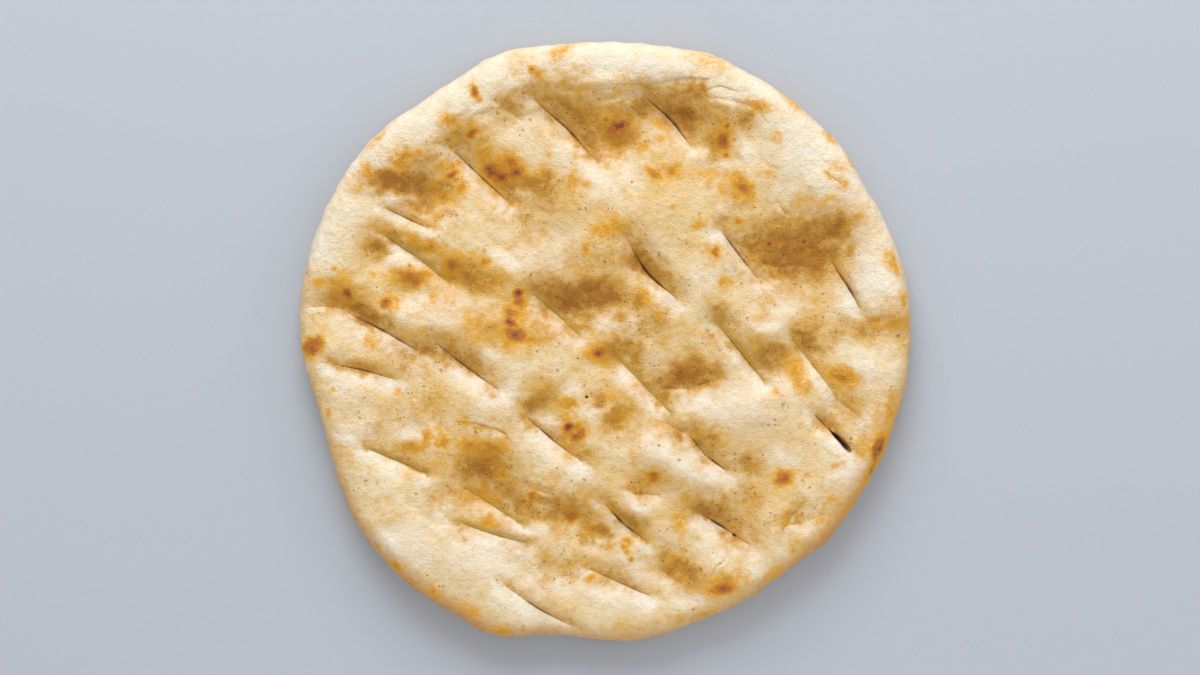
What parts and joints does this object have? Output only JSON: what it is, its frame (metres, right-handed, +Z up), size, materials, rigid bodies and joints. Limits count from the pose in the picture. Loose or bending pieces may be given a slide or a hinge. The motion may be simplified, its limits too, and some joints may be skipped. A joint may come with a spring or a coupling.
{
  "type": "naan",
  "caption": "Large round flatbread with a puffed rim, rows of slanting slashes, soft hollows and toasted patches, flat underneath.",
  "frame": {"origin": "middle of the bread's outline, on the surface that it lies on", "axes": "+Z up out of the slashed top, +Y towards the widest puffed part of the rim, +X to the right of that; the slashes run from -X +Y to +X -Y"},
  "size_m": [0.2706, 0.2655, 0.0215],
  "materials": {
    "crust": "matte baked crust, pale with golden brown patches"
  },
  "bodies": {
    "root": {"naan": "crust"}
  },
  "joints": []
}
